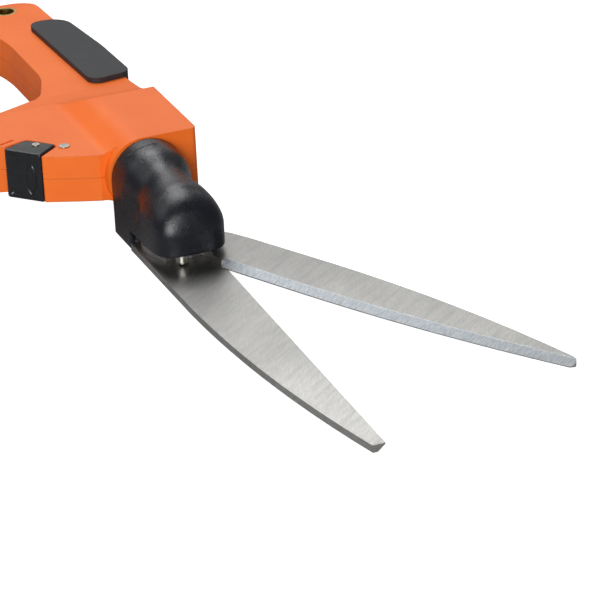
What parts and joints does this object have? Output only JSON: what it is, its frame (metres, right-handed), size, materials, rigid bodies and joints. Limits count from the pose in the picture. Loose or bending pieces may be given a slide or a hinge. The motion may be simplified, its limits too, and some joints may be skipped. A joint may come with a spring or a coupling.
{
  "type": "grass shears",
  "caption": "Hand grass shears with a swivelling arched head, long flat blades opened in a narrow V, and a squeeze lever with a thumb latch.",
  "frame": {"origin": "on the axis of the hanging hole at the end of the fixed handle, level with the swivel axis; the plane where the swivelling head meets the handle housing lies 148 mm ahead of it", "axes": "+X forward along the swivel axis, +Y towards the back of the fixed handle, +Z out of the flank that lies upward and normal to the blades"},
  "size_m": [0.3375, 0.1483, 0.0331],
  "materials": {
    "orange_shell": "satin",
    "soft_black": "matte",
    "black_plastic": "satin",
    "head_cover": "fine sparkle texture",
    "blade_steel": "ground",
    "bright_steel": "polished",
    "zinc_steel": "zinc plated",
    "spring_steel": "drawn wire",
    "nylon": "matte",
    "brass": "satin"
  },
  "bodies": {
    "handle": {"housing_upper": "orange_shell", "housing_lower": "orange_shell", "fixed_grip": "soft_black", "housing_screws": "zinc_steel", "hang_bush": "brass", "lever_pivot_pin": "bright_steel", "latch_rivets": "bright_steel", "return_spring": "spring_steel", "journal_bush": "nylon", "thrust_ring": "zinc_steel", "detent_ball": "bright_steel", "detent_spring": "spring_steel"},
    "lever_arm": {"lever": "orange_shell", "lever_grip": "soft_black", "lever_bush": "nylon", "spring_peg": "nylon"},
    "latch_body": {"latch": "black_plastic"},
    "rod_body": {"drive_rod": "bright_steel", "spool": "nylon", "spool_clip": "zinc_steel"},
    "head": {"swivel_neck": "black_plastic", "retaining_ring": "zinc_steel", "neck_screws": "zinc_steel", "blade_carrier": "zinc_steel", "head_shroud": "head_cover", "shroud_screw": "zinc_steel", "lower_blade": "blade_steel", "blade_screws": "zinc_steel", "pivot_bolt": "bright_steel", "pivot_nut": "zinc_steel", "thrust_washer": "brass", "stop_pin": "bright_steel"},
    "yoke_body": {"drive_yoke": "nylon"},
    "blade_body": {"upper_blade": "blade_steel", "drive_pin": "bright_steel"}
  },
  "joints": [
    {"name": "head_swivel", "type": "hinge", "parent": "handle", "child": "head", "pos_m": [0.148, 0, 0], "axis": [1, 0, 0], "range_deg": [-90, 90]},
    {"name": "lever_squeeze", "type": "hinge", "parent": "handle", "child": "lever_arm", "pos_m": [0.1312, -0.0223, 0], "axis": [0, 0, -1], "range_deg": [0, 10], "deforming": ["return_spring"]},
    {"name": "latch_pivot", "type": "hinge", "parent": "handle", "child": "latch_body", "pos_m": [0.1267, -0.0305, 0], "axis": [0, 0, -1], "range_deg": [0, 8]},
    {"name": "rod_slide", "type": "slide", "parent": "handle", "child": "rod_body", "axis": [1, 0, 0], "range_m": [0, 0.00392]},
    {"name": "yoke_slide", "type": "slide", "parent": "head", "child": "yoke_body", "axis": [1, 0, 0], "range_m": [0, 0.00392]},
    {"name": "blade_pivot", "type": "hinge", "parent": "head", "child": "blade_body", "pos_m": [0.1713, 0, -0.0148], "axis": [0, 0, -1], "range_deg": [0, 27]}
  ],
  "couplings": [
    {"joint": "rod_slide", "follows": "lever_squeeze", "m_per_rad": 0.022471},
    {"joint": "yoke_slide", "follows": "lever_squeeze", "m_per_rad": 0.022471},
    {"joint": "blade_pivot", "follows": "lever_squeeze", "ratio": 2.7}
  ]
}
